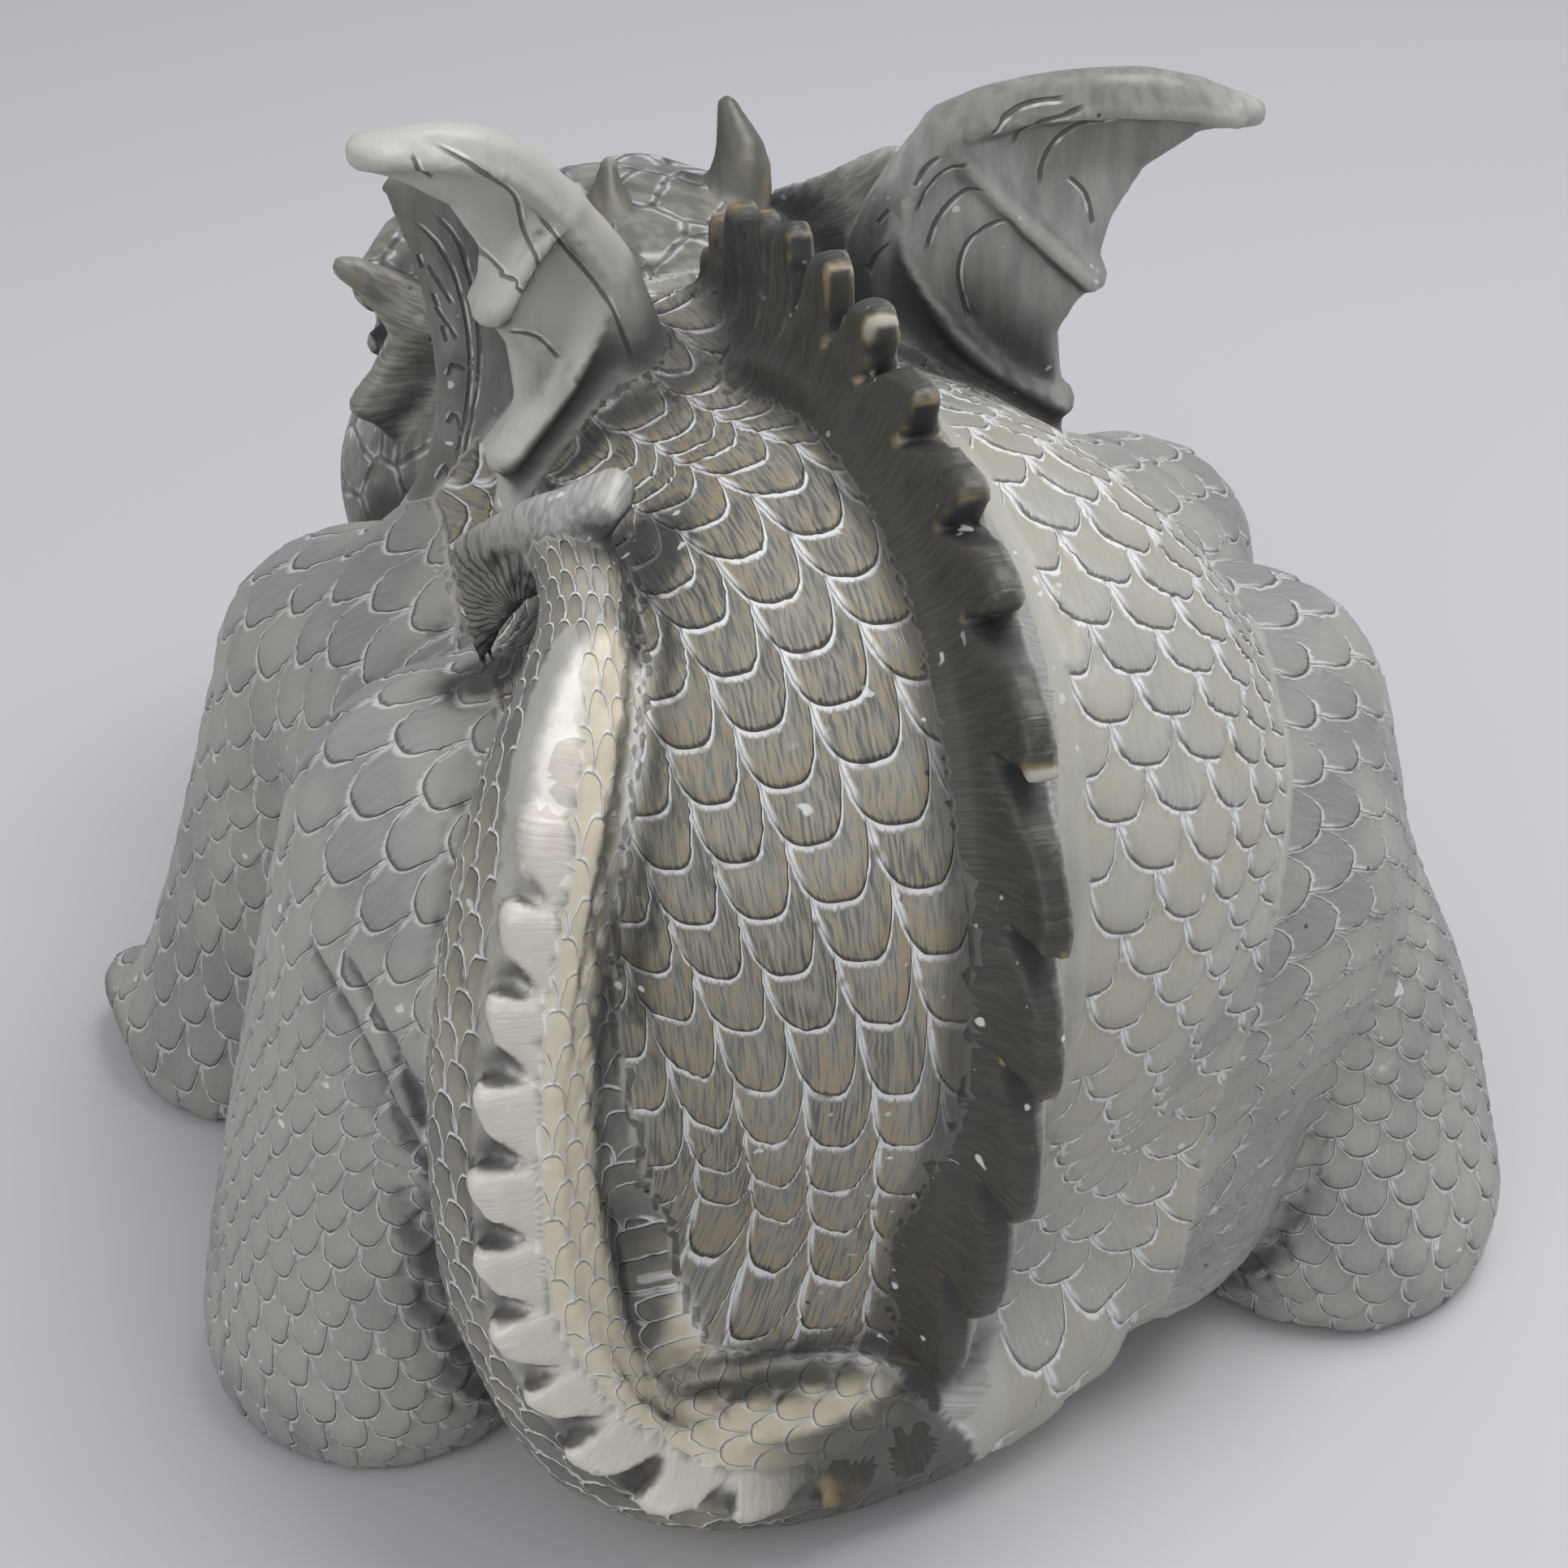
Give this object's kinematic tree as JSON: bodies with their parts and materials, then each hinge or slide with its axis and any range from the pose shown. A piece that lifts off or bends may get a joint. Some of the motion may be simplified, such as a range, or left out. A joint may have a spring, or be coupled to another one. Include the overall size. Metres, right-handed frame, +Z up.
{
  "type": "dragon statue",
  "caption": "Crouching winged dragon in cast stone, with a toothed back crest and a scaled tail curled up over its left haunch.",
  "frame": {"origin": "on the floor, under the middle of the bounding box", "axes": "+Z up, the head looks along -Y, the dragon's left side is at +X"},
  "size_m": [0.3852, 0.4224, 0.3206],
  "materials": {
    "stone": "satin grey cast stone, brushed ochre on the scales, pale dry-brushed edges, dark recesses, fine pinholes"
  },
  "bodies": {
    "root": {"dragon": "stone"}
  },
  "joints": []
}
